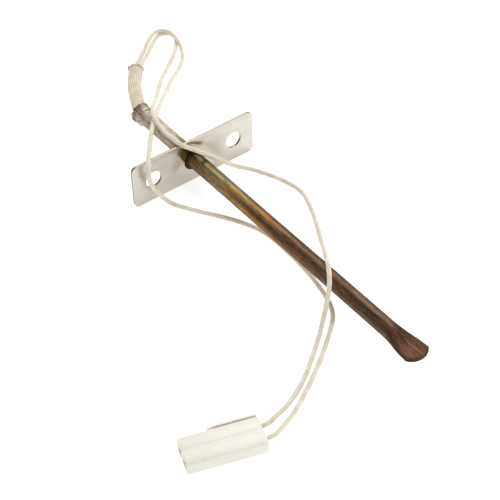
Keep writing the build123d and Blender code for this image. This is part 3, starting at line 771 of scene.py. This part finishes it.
def brushed():
    """Flange steel with fine lines along its length, in Y."""
    made, tree, shader = finish_of("brushed_steel", Metallic=1.0)
    place = coordinate(tree)
    lines = grain(tree, 1.0, 4.0, (2600, 70, 2600))
    cloud = grain(tree, 2400.0, 3.0)
    tone = ramp(tree, lines, [(0.3, (190, 186, 179)), (0.7, (200, 196, 189))])
    speck = ramp(tree, cloud, [(0.36, (244, 241, 236)), (0.62, WHITE)])
    colour = multiply(tree, 1.0, tone, speck)
    # copper-coloured painted highlight next to the bore, on its upper side, mostly +Y
    flat = calculate(tree, "MULTIPLY", place, (0, 1, 1), kind="VectorMath", output="Vector")
    reach = calculate(tree, "LENGTH", flat, kind="VectorMath")
    tinted = calculate(tree, "MULTIPLY", span(tree, reach, *COPPER_HIGHLIGHT_RING), painted_highlight_side(tree))
    colour = mix(tree, tinted, colour, linear(206, 150, 108))
    # painted shade: darker on the cut edges
    facing = calculate(tree, "ABSOLUTE", x_of(tree, coordinate(tree, "Normal")))
    colour = mix(tree, span(tree, facing, 0.75, 0.3), colour, linear(128, 122, 112))
    # smoother above the bore, where it mirrors the sheath, and tinted warmer and darker there as a painted
    # reflection of the sheath
    above = span(tree, toward(tree, place, GLOSS_AND_PAINTED_REFLECTION_DIRECTION), *GLOSS_AND_PAINTED_REFLECTION_SPAN)
    gloss_and_painted_reflection = calculate(tree, "MULTIPLY", above, span(tree, reach, *GLOSS_AND_PAINTED_REFLECTION_RING))
    colour = mix(tree, gloss_and_painted_reflection, colour, multiply(tree, 1.0, colour, linear(222, 208, 190)))
    put(tree, shader, "Base Color", colour)
    rough = span(tree, cloud, 0, 1, 0.3, 0.42)
    put(tree, shader, "Roughness", calculate(tree, "MULTIPLY_ADD", gloss_and_painted_reflection, -0.24, rough))
    bump(tree, shader, lines, 0.08, 0.00002)
    return made


def woven(name, low, high, worn=None):
    """Glass braid, with painted shade between its strands and inside the sleeve, and a colour of its own
    where it is worn.
    """
    made, tree, shader = finish_of(name, Roughness=0.82, Sheen_Weight=0.25, Sheen_Roughness=0.5)
    tone = add(tree, "Attribute", {"attribute_name": "tone"}).outputs["Fac"]
    # painted shade: darker where the braid is low, between its strands
    colour = ramp(tree, tone, [(0.08, low), (0.6, high)])
    stain = ramp(tree, grain(tree, 320.0, 3.0), [(0.3, (236, 228, 212)), (0.7, WHITE)])
    colour = multiply(tree, 1.0, colour, stain)
    if worn:
        wear = add(tree, "Attribute", {"attribute_name": "wear"}).outputs["Fac"]
        colour = mix(tree, wear, colour, linear(*worn))
    put(tree, shader, "Base Color", colour)
    bump(tree, shader, grain(tree, 9000.0, 2.0), 0.3, 0.00002)
    return made


def plain(name, light, shade, scale, rough, **values):
    """A finish clouded between two colours, and a little uneven in gloss."""
    made, tree, shader = finish_of(name, **values)
    cloud = grain(tree, scale, 4.0)
    put(tree, shader, "Base Color", ramp(tree, cloud, [(0.3, shade), (0.7, light)]))
    put(tree, shader, "Roughness", span(tree, cloud, 0, 1, rough - 0.08, rough + 0.08))
    bump(tree, shader, cloud, 0.15, 0.00003)
    return made


MATERIALS = {
    "brushed": brushed(),
    "tinted": heat_tint(),
    "ferrule": ferrule_steel(),
    "lead": woven("braided_glass", (203, 196, 181), (227, 222, 210)),
    "sleeve": woven("ribbed_glass", (172, 162, 142), (220, 211, 194), (150, 140, 112)),
    "fibre": plain("loose_glass", (190, 182, 156), (150, 142, 112), 900, 0.8),
    "nylon": plain("natural_nylon", (226, 223, 213), (219, 216, 205), 260, 0.42,
                   Subsurface_Weight=0.3, Subsurface_Scale=0.0008),
    "ceramic": plain("ceramic", (240, 236, 226), (222, 216, 204), 1500, 0.75),
    "brass": plain("tinned_brass", (222, 219, 212), (190, 186, 178), 1200, 0.3, Metallic=1.0),
    "nickel": plain("nickel", (200, 196, 190), (168, 164, 158), 2500, 0.28, Metallic=1.0),
}
# Pieces made here, and nodes shown as the CAD has them
PIECES = {
    "lead": (lead_a, lead_b), "sleeve": (sleeve,), "fibre": (fibres,), "tinted": (sheath_piece,),
    "ferrule": (ferrule_piece,), "brushed": (flange,), "nylon": (housing, nose_wall, latch),
}
CAD_NODES = {
    "ceramic": ("seal_plug", "insulator_beads", "rtd_element", "tip_cement"),
    "brass": ("splice_barrel_a", "splice_barrel_b", "terminal_a", "terminal_b"),
    "fibre": ("splice_sleeve_a", "splice_sleeve_b"),
    "nickel": ("inner_lead_a", "inner_lead_b", "element_leads", "conductor_a", "conductor_b"),
}
for kind, material in MATERIALS.items():
    nodes = [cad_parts[name] for name in CAD_NODES.get(kind, ())]
    for piece in (*PIECES.get(kind, ()), *nodes):
        piece.data.materials.clear()
        piece.data.materials.append(material)

# ---- Floor, backdrop and soft studio light
FLOOR_HALF = 4.0
FLOOR_GLOW = 0.55
WORLD_STRENGTH = 0.62
floor_corners = [(x * FLOOR_HALF, y * FLOOR_HALF, FLOOR_Z) for x, y in ((-1, -1), (1, -1), (1, 1), (-1, 1))]
floor = mesh_object("floor", floor_corners, [(0, 1, 2, 3)])
white_floor = finish_of(
    "white_floor", Base_Color=(0.9, 0.9, 0.9, 1), Roughness=0.9, Emission_Color=(1, 1, 1, 1),
    Emission_Strength=FLOOR_GLOW, Specular_IOR_Level=0.0)[0]
floor.data.materials.append(white_floor)


def softbox(name, at, side, power):
    """A square area light that faces the origin."""
    light = bpy.data.lights.new(name, "AREA")
    light.shape = "RECTANGLE"
    light.size = side
    light.size_y = side
    light.energy = power
    made = bpy.data.objects.new(name, light)
    bpy.context.scene.collection.objects.link(made)
    made.location = at
    made.rotation_mode = "QUATERNION"
    made.rotation_quaternion = (-Vector(at)).to_track_quat("-Z", "Y")
    return made


key = softbox("key", (-0.5, 0.5, 1.0), 0.7, 9)
fill = softbox("fill", (0.9, 0.6, 0.8), 0.8, 4)

world = bpy.data.worlds.new("studio")
world.use_nodes = True
bpy.context.scene.world = world
background = world.node_tree.nodes["Background"]
background.inputs["Color"].default_value = (1, 1, 1, 1)
background.inputs["Strength"].default_value = WORLD_STRENGTH
bpy.context.scene.view_settings.view_transform = "Standard"
